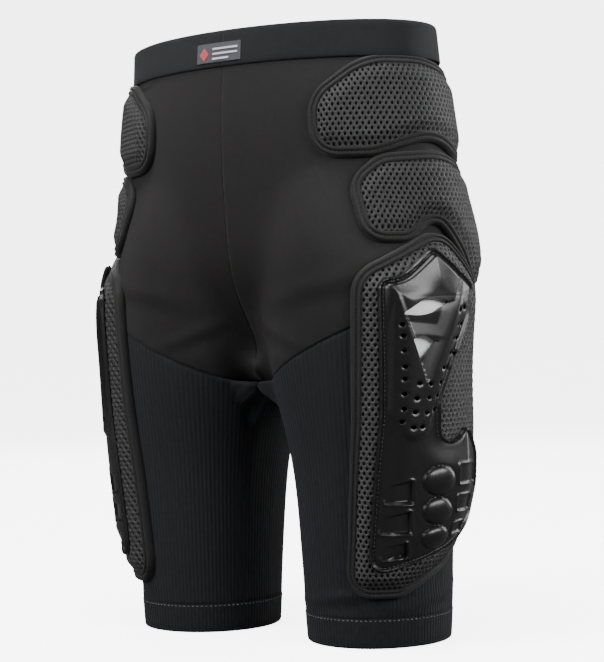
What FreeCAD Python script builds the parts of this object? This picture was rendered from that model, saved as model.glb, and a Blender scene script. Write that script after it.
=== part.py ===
"""Padded impact shorts: stretch shorts with hip, thigh, tailbone and seat pads and two hard thigh shells.

Frame: +Z up, the wearer faces -Y and the wearer's left side is +X.  The hems lie on Z = 0 and the
waist is on top.  Only left-hand pieces are drawn; every right-hand piece is a mirror of its twin.
All sizes are millimetres.
"""
import FreeCAD
import Part
import Sketcher
import math
import os

os.makedirs("parts", exist_ok=True)
doc = FreeCAD.newDocument("padded_impact_shorts")

# ---------------------------------------------------------------- driving dimensions
# The body shape: oval sections, each with its height, half width, half depth and centre.
TRUNK_SECTIONS = {
    # name: (height, half width, half depth, centre depth)
    "waist_top": (518, 150, 84, 2),
    "waist_seam": (480, 153, 88, 3),
    "upper_hip": (430, 160, 91, 3),
    "hip": (390, 165, 92, 5),
    "lower_hip": (350, 169, 92, 8),
    "seat": (310, 166, 91, 14),
    "seat_fold": (275, 145, 79, 22),
    "fork": (240, 102, 59, 32),
    "crotch": (212, 45, 32, 42),
}
LEG_SECTIONS = {
    # name: (height, half width, half depth, centre depth, centre across)
    "hem_edge": (0, 61, 64, 4, 88),
    "hem_top": (60, 63, 68, 4.5, 89),
    "knee_side": (125, 68, 73, 5, 89.5),
    "mid_thigh": (180, 75, 79, 4.5, 87),
    "upper_thigh": (230, 82, 86, 4, 81),
    "groin": (270, 88, 92, 6, 78),
    "buttock": (310, 92, 100, 11, 77),
    "leg_root": (350, 89, 101, 14, 73),
    "leg_blend": (400, 76, 88, 12, 66),
    "leg_end": (440, 60, 70, 7, 60),
}

# How far each surface stands off the outside of the fabric.
LAYERS = {
    "fabric_inside": -1.6,
    "fabric_outside": 0,
    "band_outside": 0.9,
    "label_outside": 1.8,
    "pad_back": 0.3,
    "hip_foam_top": 8,
    "hip_cover_top": 10,
    "binding_top": 7,
    "thigh_foam_top": 12,
    "thigh_cover_top": 14,
    "insert_top": 14.9,
    "shell_back": 15.1,
    "shell_recess": 16.9,
    "shell_face": 18,
    "shell_raised": 19.6,
}

# The frame of each pad outline: the heading it faces, counted from the front towards the side, and
# how far out from the middle of the body its cutting prism starts.
PAD_FACING = {
    "hip_upper": (75, 60),
    "hip_lower": (82, 60),
    "thigh": (80, 87),
    "tailbone": (180, 20),
    "seat_pad": (180, 20),
}

# Outlines: corners as (across, up, corner radius).  Across runs towards the back of the body, or
# towards the other side on the pads that face straight back.
OUTLINES = {
    "hip_upper": [(-55, 404, 25), (-20, 404, 40), (28, 419, 40), (62, 407, 30), (88, 398, 18),
                  (88, 472, 22), (25, 487, 80), (-22, 487, 60), (-55, 455, 30)],
    "hip_lower": [(-53, 333, 22), (-20, 333, 18), (6, 353, 14), (38, 322, 30), (54, 300, 14),
                  (86, 300, 18), (86, 390, 26), (14, 409, 70), (-34, 405, 26), (-53, 384, 26)],
    "thigh": [(-48, 43, 24), (-18, 43, 20), (24, 64, 30), (62, 96, 40), (70, 180, 90), (70, 302, 24),
              (12, 345, 26), (-58, 308, 26), (-54, 190, 300)],
    "tailbone": [(-14, 372, 12), (14, 372, 12), (34, 430, 40), (34, 470, 18), (-34, 470, 18),
                 (-34, 430, 40)],
    "seat_pad": [(-92, 296, 24), (-24, 296, 22), (-24, 352, 30), (-48, 384, 24), (-92, 376, 24)],
    "shell": [(-48, 61, 14), (-8, 74, 60), (25, 85, 60), (48, 103, 30), (60, 134, 22), (57, 160, 20),
              (38, 184, 8), (24, 172, 12), (4, 172, 13), (3, 203, 30), (38, 274, 30), (43, 299, 8),
              (-5, 328, 8), (-34, 305, 20), (-51, 303, 9), (-47, 190, 300)],
    "shell_tongue": [(-44, 196, 12), (-28, 170, 14), (-9, 177, 12), (6, 222, 20), (30, 292, 3),
                     (-45, 292, 3)],
    "shell_valley": [(-16, 221, 2), (-10, 221, 2), (22, 297, 2), (-8, 318, 6), (-40, 297, 2)],
    "upper_window": [(-33, 274, 1), (-16, 271, 30), (2, 283, 1), (-16, 289, 22)],
    "lower_window": [(-27, 255, 1), (-18, 259, 10), (-7, 253, 1), (-20, 236, 2)],
}
LOUVRES = [
    [(-40, 123, 1), (-21, 123, 1), (-23, 142, 1), (-38, 138, 1)],
    [(-42, 98, 1), (-21, 98, 1), (-23, 117, 1), (-41, 112, 1)],
    [(-41, 73, 1), (-22, 76, 1), (-24, 90, 1), (-42, 86, 1)],
]
SIDE_FRAMES = [
    [(21, 136, 2), (48, 136, 2), (48, 153, 2), (21, 153, 2)],
    [(20, 114, 2), (42, 114, 2), (43, 128, 2), (20, 128, 2)],
    [(18, 94, 2), (33, 96, 2), (35, 106, 2), (18, 105, 2)],
]
# Vent holes through the shell: across, up.
VENT_HOLES = [
    (-35, 267), (-34, 258), (-33, 246), (-32, 233), (-32, 223), (-32, 211), (-32, 199), (-33, 189),
    (-21, 219), (-23, 207), (-24, 196), (-25, 184),
    (-11, 218), (-12, 207), (-14, 195), (-18, 184),
    (1, 219), (-2, 208), (-5, 197),
    (26, 280), (19, 278), (26, 267), (19, 267), (21, 255), (14, 255),
    (18, 243), (12, 243), (10, 231), (3, 231),
]
# Raised domes on the lower lobe: across, up, half width, half height.
DOMES = {
    "dome_top": (0, 140, 17, 12),
    "dome_middle": (0, 116, 16.5, 11.5),
    "dome_bottom": (0, 93, 16, 11),
}

SIZES = {
    "body_middle": -18.2,       # depth shift that centres the whole garment on the origin
    "side_seam": 5,             # depth of the side seam and the inseam
    "band_bottom": 488,         # lower edge of the waistband
    "hem_height": 24,           # height of the hem band
    "yoke_rise": 0.45,          # slope of the seam between seat panels and leg panels
    "yoke_start": 210,          # height of that seam at the middle
    "label_left": -26,
    "label_width": 46,
    "label_bottom": 489,
    "label_height": 19,
    "reach": 260,               # length of every cutting prism
    "binding_width": 7,         # width of the tape around a pad
    "rim_width": 3.5,           # width of the raised bead around the hard shell
    "frame_line": 2,            # width of a side frame's raised line
    "hole_radius": 1.7,
    "dome_height": 8,
    "insert_margin": 4,         # how far a window insert runs past its window
}

sheet = doc.addObject("Spreadsheet::Sheet", "Dimensions")
cell_row = 0


def put(alias, value):
    """Store one driving dimension as a plain number with a readable alias."""
    global cell_row
    cell_row += 1
    sheet.set("A%d" % cell_row, alias)
    sheet.set("B%d" % cell_row, "%g" % value)
    sheet.setAlias("B%d" % cell_row, alias)


for section_name, numbers in {**TRUNK_SECTIONS, **LEG_SECTIONS}.items():
    for word, value in zip(("height", "halfwidth", "halfdepth", "depth", "across"), numbers):
        put("%s_%s" % (section_name, word), value)
for layer_name, stand_off in LAYERS.items():
    put(layer_name, stand_off)
for pad_name, (heading, start) in PAD_FACING.items():
    put(pad_name + "_heading", heading)
    put(pad_name + "_start", start)
for size_name, value in SIZES.items():
    put(size_name, value)
for dome_name, numbers in DOMES.items():
    for word, value in zip(("across", "up", "halfwidth", "halfheight"), numbers):
        put("%s_%s" % (dome_name, word), value)
doc.recompute()


def size(alias):
    """Read a driving dimension back from the sheet."""
    return float(sheet.get(alias))


def bind(thing, **expressions):
    """Bind properties to the sheet; a double underscore stands for a dot."""
    for prop, expression in expressions.items():
        thing.setExpression(prop.replace("__", "."), expression)


# ---------------------------------------------------------------- body forms
def section_ellipse(name, section, layer, leg, is_end):
    """One oval of a body form, pushed outwards by a layer's stand-off."""
    ellipse = doc.addObject("Part::Ellipse", name)
    off = " + Dimensions.%s" % layer
    long_word, short_word = ("halfdepth", "halfwidth") if leg else ("halfwidth", "halfdepth")
    bind(ellipse,
         MajorRadius="Dimensions.%s_%s%s" % (section, long_word, off),
         MinorRadius="Dimensions.%s_%s%s" % (section, short_word, off),
         Placement__Base__y="Dimensions.%s_depth + Dimensions.body_middle" % section,
         Placement__Base__z="Dimensions.%s_height%s" % (section, " - Dimensions." + layer if is_end else ""))
    if leg:
        bind(ellipse, Placement__Base__x="Dimensions.%s_across" % section)
        ellipse.Placement.Rotation = FreeCAD.Rotation(FreeCAD.Vector(0, 0, 1), 90)
    return ellipse


def loft(name, sections, layer, leg):
    """A smooth solid through the named ovals at one layer."""
    solid = doc.addObject("Part::Loft", name)
    solid.Sections = [
        section_ellipse("%s_%s" % (name, section), section, layer, leg, section == "crotch")
        for section in sections]
    solid.Solid = True
    solid.Ruled = False
    solid.MaxDegree = 3
    return solid


def boolean(kind, name, base, tool):
    """Part::Cut, Part::Common or Part::Fuse of two objects."""
    result = doc.addObject("Part::" + kind, name)
    result.Base = base
    result.Tool = tool
    return result


made_forms = {}


def form(layer):
    """The left half of the body with its left leg, at one layer's stand-off."""
    if layer not in made_forms:
        trunk = loft("trunk_" + layer, TRUNK_SECTIONS, layer, leg=False)
        leg = loft("leg_" + layer, LEG_SECTIONS, layer, leg=True)
        made_forms[layer] = boolean("Fuse", "form_" + layer, trunk, leg)
    return made_forms[layer]


# ---------------------------------------------------------------- outlines and prisms
def rounded_outline(corners):
    """Lines and arcs around a polygon whose corners carry their own radii."""
    points = [FreeCAD.Vector(across, up, 0) for across, up, _ in corners]
    pieces = []
    ends = []
    for number, (_, _, radius) in enumerate(corners):
        corner = points[number]
        back = (points[number - 1] - corner).normalize()
        ahead = (points[(number + 1) % len(points)] - corner).normalize()
        half_angle = back.getAngle(ahead) / 2
        run = radius / math.tan(half_angle)
        middle = (back + ahead).normalize()
        centre = corner + middle * (radius / math.sin(half_angle))
        top = centre - middle * radius
        ends.append((corner + back * run, top, corner + ahead * run))
    for number, (start, top, end) in enumerate(ends):
        pieces.append(Part.Arc(start, top, end))
        pieces.append(Part.LineSegment(end, ends[(number + 1) % len(ends)][0]))
    return pieces


def facing(pad):
    """The placement whose XY plane stands upright and faces the pad's heading."""
    heading = size(pad + "_heading")
    start = size(pad + "_start")
    outwards = FreeCAD.Vector(math.sin(math.radians(heading)), -math.cos(math.radians(heading)), 0)
    base = outwards * start + FreeCAD.Vector(0, size("body_middle"), 0)
    return FreeCAD.Placement(base, FreeCAD.Rotation(heading, 0, 90)), outwards


def outline_sketch(name, pad, corners):
    """A sketch of one outline on the pad's upright plane."""
    sketch = doc.addObject("Sketcher::SketchObject", name)
    sketch.Placement = facing(pad)[0]
    for piece in rounded_outline(corners):
        index = sketch.addGeometry(piece, False)
        sketch.addConstraint(Sketcher.Constraint("Block", index))
    return sketch


def inset(name, sketch, distance):
    """The outline drawn inwards by a distance given as a sheet expression."""
    ring = doc.addObject("Part::Offset2D", name)
    ring.Source = sketch
    bind(ring, Value="-(%s)" % distance)
    return ring


def prism(name, pad, profile):
    """The profile run outwards through the body and past its surface."""
    solid = doc.addObject("Part::Extrusion", name)
    solid.Base = profile
    solid.DirMode = "Custom"
    solid.Dir = facing(pad)[1]
    solid.Solid = True
    bind(solid, LengthFwd="Dimensions.reach")
    return solid


def between(name, zone, outer, inner):
    """The part of a prism that lies between two layers of the body form."""
    whole = boolean("Common", name + "_whole", zone, form(outer))
    return boolean("Cut", name, whole, form(inner))


# ---------------------------------------------------------------- hand-in list
finished = []


def finish(thing, label):
    """Label a sub-part and put it on the list of pieces to write."""
    thing.Label = label
    finished.append(thing)
    return thing


def finish_pair(thing, label):
    """Finish a left-hand piece and its mirror on the wearer's right."""
    finish(thing, label + "_left")
    mirror = doc.addObject("Part::Mirroring", label + "_mirror")
    mirror.Source = thing
    mirror.Base = FreeCAD.Vector(0, 0, 0)
    mirror.Normal = FreeCAD.Vector(1, 0, 0)
    finish(mirror, label + "_right")


def block(name, low, high):
    """A box between two corners, each a triple of sheet expressions."""
    box = doc.addObject("Part::Box", name)
    bind(box,
         Placement__Base__x=low[0], Placement__Base__y=low[1], Placement__Base__z=low[2],
         Length="(%s) - (%s)" % (high[0], low[0]),
         Width="(%s) - (%s)" % (high[1], low[1]),
         Height="(%s) - (%s)" % (high[2], low[2]))
    return box


# ---------------------------------------------------------------- waistband and label
def make_waistband():
    ring = boolean("Cut", "band_ring",
                   loft("band_outer", TRUNK_SECTIONS, "band_outside", leg=False),
                   loft("band_inner", TRUNK_SECTIONS, "fabric_inside", leg=False))
    zone = block("band_zone", ("-300", "-300", "Dimensions.band_bottom"),
                 ("300", "300", "Dimensions.waist_top_height"))
    finish(boolean("Common", "band", ring, zone), "waistband")


def make_waist_label():
    layer = boolean("Cut", "label_layer",
                    loft("label_outer", TRUNK_SECTIONS, "label_outside", leg=False),
                    loft("label_inner", TRUNK_SECTIONS, "band_outside", leg=False))
    zone = block("label_zone",
                 ("Dimensions.label_left", "-300", "Dimensions.label_bottom"),
                 ("Dimensions.label_left + Dimensions.label_width", "0",
                  "Dimensions.label_bottom + Dimensions.label_height"))
    finish(boolean("Common", "label_patch", layer, zone), "waist_label")


# ---------------------------------------------------------------- fabric panels
def panel_prism(name, corners, is_front):
    """An upright slab cut by a polygon seen from the front, ahead of or behind the side seam."""
    sketch = doc.addObject("Sketcher::SketchObject", name + "_cut")
    sketch.Placement = FreeCAD.Placement(FreeCAD.Vector(0, 0, 0), FreeCAD.Rotation(0, 0, 90))
    bind(sketch, Placement__Base__y="Dimensions.side_seam + Dimensions.body_middle")
    points = [FreeCAD.Vector(across, up, 0) for across, up in corners]
    for start, end in zip(points, points[1:] + points[:1]):
        index = sketch.addGeometry(Part.LineSegment(start, end), False)
        sketch.addConstraint(Sketcher.Constraint("Block", index))
    slab = doc.addObject("Part::Extrusion", name)
    slab.Base = sketch
    slab.DirMode = "Custom"
    slab.Dir = FreeCAD.Vector(0, -1 if is_front else 1, 0)
    slab.Solid = True
    bind(slab, LengthFwd="Dimensions.reach")
    return slab


def make_panels():
    skin = boolean("Cut", "skin", form("fabric_outside"), form("fabric_inside"))
    reach = size("reach")
    yoke_start = size("yoke_start")
    yoke_end = yoke_start + size("yoke_rise") * reach
    outlines = {
        "upper": [(0, yoke_start), (reach, yoke_end), (reach, size("band_bottom")), (0, size("band_bottom"))],
        "leg": [(0, size("hem_height")), (reach, size("hem_height")), (reach, yoke_end), (0, yoke_start)],
    }
    for zone_name, corners in outlines.items():
        for side_name, is_front in (("front", True), ("back", False)):
            name = "%s_%s" % (zone_name, side_name)
            slab = panel_prism(name + "_zone", corners, is_front)
            finish_pair(boolean("Common", name + "_panel", skin, slab), name)


def make_hems():
    ring = boolean("Cut", "hem_ring",
                   loft("hem_outer", LEG_SECTIONS, "band_outside", leg=True),
                   loft("hem_inner", LEG_SECTIONS, "fabric_inside", leg=True))
    zone = block("hem_zone", ("-300", "-300", "0"), ("300", "300", "Dimensions.hem_height"))
    finish_pair(boolean("Common", "hem_band", ring, zone), "hem")


# ---------------------------------------------------------------- pads
def make_pad(pad, label, foam_top, cover_top, both_sides=True):
    """Foam block, mesh cover over it and the tape that binds the cover to the fabric."""
    outline = outline_sketch(pad + "_outline", pad, OUTLINES[pad])
    whole = prism(pad + "_whole", pad, outline)
    middle = prism(pad + "_middle", pad,
                   inset(pad + "_tape_line", outline, "Dimensions.binding_width"))

    border = boolean("Cut", pad + "_border", whole, middle)

    foam = between(pad + "_foam", middle, foam_top, "pad_back")
    cover = between(pad + "_cover", middle, cover_top, foam_top)
    tape = between(pad + "_tape", border, "binding_top", "pad_back")

    add = finish_pair if both_sides else finish
    add(foam, label + "_foam")
    add(cover, label + "_cover")
    add(tape, label + "_binding")


# ---------------------------------------------------------------- hard thigh shell
def shell_prism(name, corners):
    return prism(name + "_prism", "thigh", outline_sketch(name + "_outline", "thigh", corners))


def make_vent_pins():
    """One pin for each vent hole, long enough to pass right through the shell."""
    placement, outwards = facing("thigh")
    pins = []
    for number, (across, up) in enumerate(VENT_HOLES):
        pin = doc.addObject("Part::Cylinder", "vent_pin%02d" % number)
        bind(pin, Radius="Dimensions.hole_radius", Height="Dimensions.reach")
        pin.Placement = FreeCAD.Placement(placement.multVec(FreeCAD.Vector(across, up, 0)),
                                          placement.Rotation)
        pins.append(pin)
    group = doc.addObject("Part::Compound", "vent_pins")
    group.Links = pins
    return group


def surface_point(across, up):
    """The point of the shell's face at a place on the outline plane."""
    placement, outwards = facing("thigh")
    start = placement.multVec(FreeCAD.Vector(across, up, 0))
    line = Part.makeLine(start, start + outwards * size("reach"))
    inside = line.common(form("shell_face").Shape)
    return max((vertex.Point for vertex in inside.Vertexes), key=lambda point: point.dot(outwards))


def make_domes():
    """Three oval domes standing on the face of the lower lobe."""
    placement, outwards = facing("thigh")
    domes = []
    for name in DOMES:
        dome = doc.addObject("Part::Ellipsoid", name)
        bind(dome, Radius1="Dimensions.dome_height",
             Radius2="Dimensions.%s_halfwidth" % name,
             Radius3="Dimensions.%s_halfheight" % name)
        centre = surface_point(size(name + "_across"), size(name + "_up"))
        leg_axis = FreeCAD.Vector(size("knee_side_across"), size("body_middle"), centre.z)
        heading = math.degrees(math.atan2(centre.y - leg_axis.y, centre.x - leg_axis.x))
        turn = FreeCAD.Rotation(heading, 0, 0).multiply(FreeCAD.Rotation(FreeCAD.Vector(0, 1, 0), 90))
        dome.Placement = FreeCAD.Placement(centre, turn.multiply(FreeCAD.Rotation(90, 0, 0)))
        domes.append(dome)
    group = doc.addObject("Part::MultiFuse", "domes")
    group.Shapes = domes
    return group


def make_shell():
    whole = prism("shell_whole", "thigh", outline_sketch("shell_outline", "thigh", OUTLINES["shell"]))
    inner_line = inset("shell_rim_line", doc.getObject("shell_outline"), "Dimensions.rim_width")
    middle = prism("shell_middle", "thigh", inner_line)

    face = between("shell_face_layer", whole, "shell_face", "shell_back")
    bead = boolean("Cut", "shell_bead", between("shell_bead_layer", whole, "shell_raised", "shell_back"),
                   middle)
    tongue = between("shell_tongue_layer", shell_prism("shell_tongue", OUTLINES["shell_tongue"]),
                     "shell_raised", "shell_back")
    raised = doc.addObject("Part::MultiFuse", "shell_raised_parts")
    raised.Shapes = [face, bead, tongue]

    recess_zones = doc.addObject("Part::Compound", "shell_recess_zones")
    recess_zones.Links = [shell_prism("shell_valley", OUTLINES["shell_valley"])] + [
        shell_prism("louvre%d" % number, corners) for number, corners in enumerate(LOUVRES)]
    deep = boolean("Cut", "shell_recesses", recess_zones, form("shell_recess"))
    carved = boolean("Cut", "shell_carved", raised, deep)

    frames = []
    for number, corners in enumerate(SIDE_FRAMES):
        line = outline_sketch("side_frame%d" % number, "thigh", corners)
        ring = boolean("Cut", "side_ring%d" % number, prism("side_outer%d" % number, "thigh", line),
                       prism("side_inner%d" % number, "thigh",
                             inset("side_line%d" % number, line, "Dimensions.frame_line")))
        frames.append(between("side_raised%d" % number, ring, "shell_raised", "shell_back"))
    doc.recompute()
    domes = boolean("Cut", "domes_outside", make_domes(), form("shell_back"))
    dressed = doc.addObject("Part::MultiFuse", "shell_dressed")
    dressed.Shapes = [carved, domes] + frames

    openings = doc.addObject("Part::Compound", "shell_openings")
    openings.Links = [shell_prism("upper_window", OUTLINES["upper_window"]),
                      shell_prism("lower_window", OUTLINES["lower_window"]),
                      make_vent_pins()]
    finish_pair(boolean("Cut", "shell_piece", dressed, openings), "thigh_shell")


def make_window_insert():
    """The pale textured sheet behind the shell's two windows."""
    low = min(up for _, up, _ in OUTLINES["lower_window"])
    high = max(up for _, up, _ in OUTLINES["upper_window"])
    left = min(across for across, _, _ in OUTLINES["upper_window"])
    right = max(across for across, _, _ in OUTLINES["upper_window"])
    margin = size("insert_margin")
    corners = [(left - margin, low - margin, margin), (right + margin, low - margin, margin),
               (right + margin, high + margin, margin), (left - margin, high + margin, margin)]
    sheet_piece = between("insert_layer", shell_prism("window_insert", corners),
                          "insert_top", "thigh_cover_top")
    finish_pair(sheet_piece, "thigh_window_insert")


make_waistband()
make_waist_label()
make_panels()
make_hems()
make_pad("hip_upper", "hip_upper", "hip_foam_top", "hip_cover_top")
make_pad("hip_lower", "hip_lower", "hip_foam_top", "hip_cover_top")
make_pad("thigh", "thigh", "thigh_foam_top", "thigh_cover_top")
make_pad("seat_pad", "seat", "hip_foam_top", "hip_cover_top")
make_pad("tailbone", "tailbone", "hip_foam_top", "hip_cover_top", both_sides=False)
make_window_insert()
make_shell()
doc.recompute()

# ---------------------------------------------------------------- checks and export
for thing in doc.Objects:
    if "Invalid" in thing.State or "Error" in thing.State:
        raise RuntimeError("%s failed to rebuild: %s" % (thing.Label, thing.State))
for thing in finished:
    if thing.Shape.isNull() or not thing.Shape.isValid() or not thing.Shape.Solids:
        raise RuntimeError("%s has no valid solid" % thing.Label)

low = FreeCAD.BoundBox()
for thing in finished:
    low.add(thing.Shape.BoundBox)
    print("%-26s solids %d  volume %.0f" % (thing.Label, len(thing.Shape.Solids), thing.Shape.Volume))
    thing.Shape.exportStep("parts/%s.step" % thing.Label)
print("box", low)
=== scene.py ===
import bpy
import math
import numpy as np
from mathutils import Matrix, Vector
from mathutils.bvhtree import BVHTree


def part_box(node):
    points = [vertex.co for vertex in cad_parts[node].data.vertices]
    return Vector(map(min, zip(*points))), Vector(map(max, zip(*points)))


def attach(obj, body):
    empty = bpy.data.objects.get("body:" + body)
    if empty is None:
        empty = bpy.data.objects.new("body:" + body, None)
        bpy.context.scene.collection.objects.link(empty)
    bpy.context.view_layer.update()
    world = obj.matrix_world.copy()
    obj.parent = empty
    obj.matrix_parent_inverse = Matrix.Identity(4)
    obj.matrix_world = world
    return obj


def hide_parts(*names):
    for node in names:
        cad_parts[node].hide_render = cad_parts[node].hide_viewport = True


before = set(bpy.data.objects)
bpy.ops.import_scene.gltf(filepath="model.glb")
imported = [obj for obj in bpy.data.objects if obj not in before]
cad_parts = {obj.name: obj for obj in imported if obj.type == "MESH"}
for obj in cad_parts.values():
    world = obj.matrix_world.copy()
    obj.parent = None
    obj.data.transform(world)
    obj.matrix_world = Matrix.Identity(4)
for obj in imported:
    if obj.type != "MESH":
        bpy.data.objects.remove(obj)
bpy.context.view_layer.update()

# ---------------------------------------------------------------- fabric shell of the shorts
# Four jersey panels above the slanting yoke seam and four ribbed leg panels below it.  The real
# panels are cut flat from stretch knit, overlocked together and pulled into shape by the pads
# and the body.
MM = 0.001
WAIST_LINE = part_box("waistband")[0].z
HEM_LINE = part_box("hem_left")[1].z
WAIST_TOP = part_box("waistband")[1].z
YOKE_START = 0.2115
YOKE_RISE = 0.45
MIDDLE = Vector((0, -18.2 * MM, 0))
CLOTH = 1.3 * MM
LEG_COLUMNS, LEG_ROWS = 241, 66
TRUNK_COLUMNS, TRUNK_ROWS = 121, 112
FLIP = np.array([-1, 1, 1])


def cad_surface(*names):
    """A ray-casting copy of the named CAD nodes."""
    points = []
    faces = []
    for name in names:
        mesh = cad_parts[name].data
        offset = len(points)
        points += [v.co.copy() for v in mesh.vertices]
        faces += [[offset + i for i in p.vertices] for p in mesh.polygons]
    return BVHTree.FromPolygons(points, faces)


def first_hits(surface, starts, directions):
    """Where rays first meet a surface; a miss is left as NaN."""
    flat_starts = starts.reshape(-1, 3)
    flat_directions = directions.reshape(-1, 3)
    hits = np.full(flat_starts.shape, np.nan)
    for i, (start, direction) in enumerate(zip(flat_starts, flat_directions)):
        place = surface.ray_cast(Vector(start), Vector(direction))[0]
        if place is not None:
            hits[i] = place
    return hits.reshape(starts.shape)


def soften(values, row_blur, column_blur, closed=False):
    """Gaussian smoothing of a grid of points that holds its open edges still."""
    for axis, blur in ((0, row_blur), (1, column_blur)):
        if blur <= 0:
            continue
        reach = max(1, int(3 * blur))
        reach = min(reach, values.shape[axis] - 1)
        weights = np.exp(-0.5 * (np.arange(-reach, reach + 1) / blur) ** 2)
        weights /= weights.sum()
        grid = np.moveaxis(values, axis, 0)
        if closed and axis == 1:
            padded = np.concatenate([grid[-reach - 1:-1], grid, grid[1:reach + 1]])
        else:
            padded = np.concatenate([2 * grid[:1] - grid[reach:0:-1], grid,
                                     2 * grid[-1:] - grid[-2:-reach - 2:-1]])
        grid = sum(w * padded[k:k + len(grid)] for k, w in enumerate(weights))
        values = np.moveaxis(grid, 0, axis)
    return values


def outward(points):
    """Unit normals of a grid of points, pointing away from the body."""
    across = np.gradient(points, axis=1)
    up = np.gradient(points, axis=0)
    normal = np.cross(across, up)
    return normal / np.maximum(np.linalg.norm(normal, axis=2, keepdims=True), 1e-12)


def lengths(points):
    """Distance along each row of a grid from its first column."""
    steps = np.linalg.norm(np.diff(points, axis=1), axis=2)
    return np.concatenate([np.zeros((len(points), 1)), np.cumsum(steps, axis=1)], axis=1)


def finer(points, columns):
    """The grid with its rows resampled evenly to a number of columns."""
    old = np.linspace(0, 1, points.shape[1])
    new = np.linspace(0, 1, columns)
    out = np.stack([np.stack([np.interp(new, old, row[:, k]) for k in range(3)], 1) for row in points])
    return soften(out, 0, columns / points.shape[1])


def polar_sheet(surface, axis, turns, low, high, rows):
    """Points on a surface around an upright axis, between two heights given for each turn."""
    part = np.linspace(0, 1, rows)[:, None]
    heights = low[None, :] * (1 - part) + high[None, :] * part
    directions = np.stack([np.sin(turns), -np.cos(turns), np.zeros_like(turns)], 1)
    directions = np.broadcast_to(directions, heights.shape + (3,))
    starts = directions * 0.4
    starts = starts + np.array([axis[0], axis[1], 0])
    starts[..., 2] = heights
    return first_hits(surface, starts, -directions)


def yoke_height(surface, axis, turns):
    """Height of the slanting yoke seam for each turn around an axis."""
    height = np.full(len(turns), YOKE_START + 0.03)
    for _ in range(12):
        ring = polar_sheet(surface, axis, turns, height, height, 1)[0]
        height = YOKE_START + YOKE_RISE * np.maximum(np.nan_to_num(ring[:, 0], nan=0.003), 0)
    return height


def patch_gaps(points):
    """Replace missed rays by the row above them."""
    for row in range(len(points) - 2, -1, -1):
        lost = np.isnan(points[row, :, 0])
        points[row, lost] = points[row + 1, lost] - np.array([0, 0, 0.0015])
    return points


left_nodes = ["%s_%s_left" % (zone, side) for zone in ("upper", "leg") for side in ("front", "back")]
left_surface = cad_surface(*left_nodes)
leg_surface = cad_surface("leg_front_left", "leg_back_left", "upper_front_left", "upper_back_left")
hem_low, hem_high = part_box("hem_left")
leg_axis = ((hem_low.x + hem_high.x) / 2 - 2 * MM, (hem_low.y + hem_high.y) / 2)
trunk_axis = (0, MIDDLE.y + 30 * MM)

LEG_TURNS = np.radians(np.linspace(-90, 270, LEG_COLUMNS))
leg_yoke = yoke_height(leg_surface, leg_axis, LEG_TURNS)
leg_grid = polar_sheet(leg_surface, leg_axis, LEG_TURNS, np.full(LEG_COLUMNS, HEM_LINE), leg_yoke,
                       LEG_ROWS)
leg_grid = soften(patch_gaps(leg_grid), 1.5, 3, closed=True)
inner = np.exp(-((YOKE_START + 0.004 - leg_grid[..., 2]) / 0.012) ** 2) * (leg_grid[..., 0] < 0.02)
leg_grid[..., 0] *= 1 - inner
TRUNK_TURNS = np.radians(np.linspace(0, 180, TRUNK_COLUMNS))
trunk_yoke = np.maximum(yoke_height(left_surface, trunk_axis, TRUNK_TURNS), YOKE_START + 0.002)
trunk_grid = polar_sheet(left_surface, trunk_axis, TRUNK_TURNS, trunk_yoke,
                         np.full(TRUNK_COLUMNS, WAIST_LINE - 1 * MM), TRUNK_ROWS)
trunk_grid = patch_gaps(trunk_grid)
mirror = trunk_grid[:, ::-1] * FLIP
whole = np.concatenate([mirror[:, :-1], trunk_grid, mirror[:, 1:]], axis=1)
trunk_grid = soften(whole, 3, 3.5)[:, TRUNK_COLUMNS - 1:2 * TRUNK_COLUMNS - 1]
trunk_grid[:, (0, -1), 0] = 0

# The jersey's lower edge is drawn onto the leg panels' upper edge, where the two are sewn.
leg_edge = leg_grid[-1]
gap = trunk_grid[0][:, None] - leg_edge[None]
nearest = leg_edge[np.argmin((gap ** 2).sum(2), axis=1)]
shift = soften((nearest - trunk_grid[0])[None], 0, 2)[0]
fade = np.exp(-(np.linspace(0, 1, TRUNK_ROWS) / 0.09) ** 2)[:, None, None]
trunk_grid = trunk_grid + shift[None] * fade
trunk_grid[:, (0, -1), 0] = 0
trunk_grid[-1, :, 2] = WAIST_LINE + 2 * MM


def grid_piece(name, columns, rows):
    """A plain grid of faces, ready to be shaped."""
    bpy.ops.object.select_all(action="DESELECT")
    bpy.ops.mesh.primitive_grid_add(x_subdivisions=columns, y_subdivisions=rows, size=1)
    piece = bpy.context.object
    piece.name = name
    piece.data.name = name
    return piece


def places_of(piece):
    """The places of a piece's vertices."""
    points = np.zeros(len(piece.data.vertices) * 3)
    piece.data.vertices.foreach_get("co", points)
    return points.reshape(-1, 3)


def shape(piece, points):
    """Moves a piece's vertices to the points."""
    piece.data.vertices.foreach_set("co", points.reshape(-1))
    piece.data.update()


def flat_map(piece, flat):
    """A UV map in metres from flat places."""
    corner = np.zeros(len(piece.data.loops), int)
    piece.data.loops.foreach_get("vertex_index", corner)
    if not piece.data.uv_layers:
        piece.data.uv_layers.new(name="UVMap")
    piece.data.uv_layers[0].data.foreach_set("uv", flat[corner].reshape(-1))


def knit_sheet(name, points):
    """A mesh grid laid through the points, with a UV map in metres."""
    rows, columns = points.shape[:2]
    piece = grid_piece(name, columns - 1, rows - 1)
    along = lengths(points)
    along = along - along[:, columns // 2:columns // 2 + 1]
    flat_map(piece, np.stack([along, points[..., 2]], 2).reshape(-1, 2))
    shape(piece, points)
    bpy.ops.object.shade_smooth()
    return piece


def thicken(piece, thickness):
    """Give a sheet its thickness on the body side."""
    modifier = piece.modifiers.new("thickness", "SOLIDIFY")
    modifier.thickness = thickness
    modifier.offset = -1
    bpy.context.view_layer.objects.active = piece
    bpy.ops.object.modifier_apply(modifier="thickness")


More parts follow.
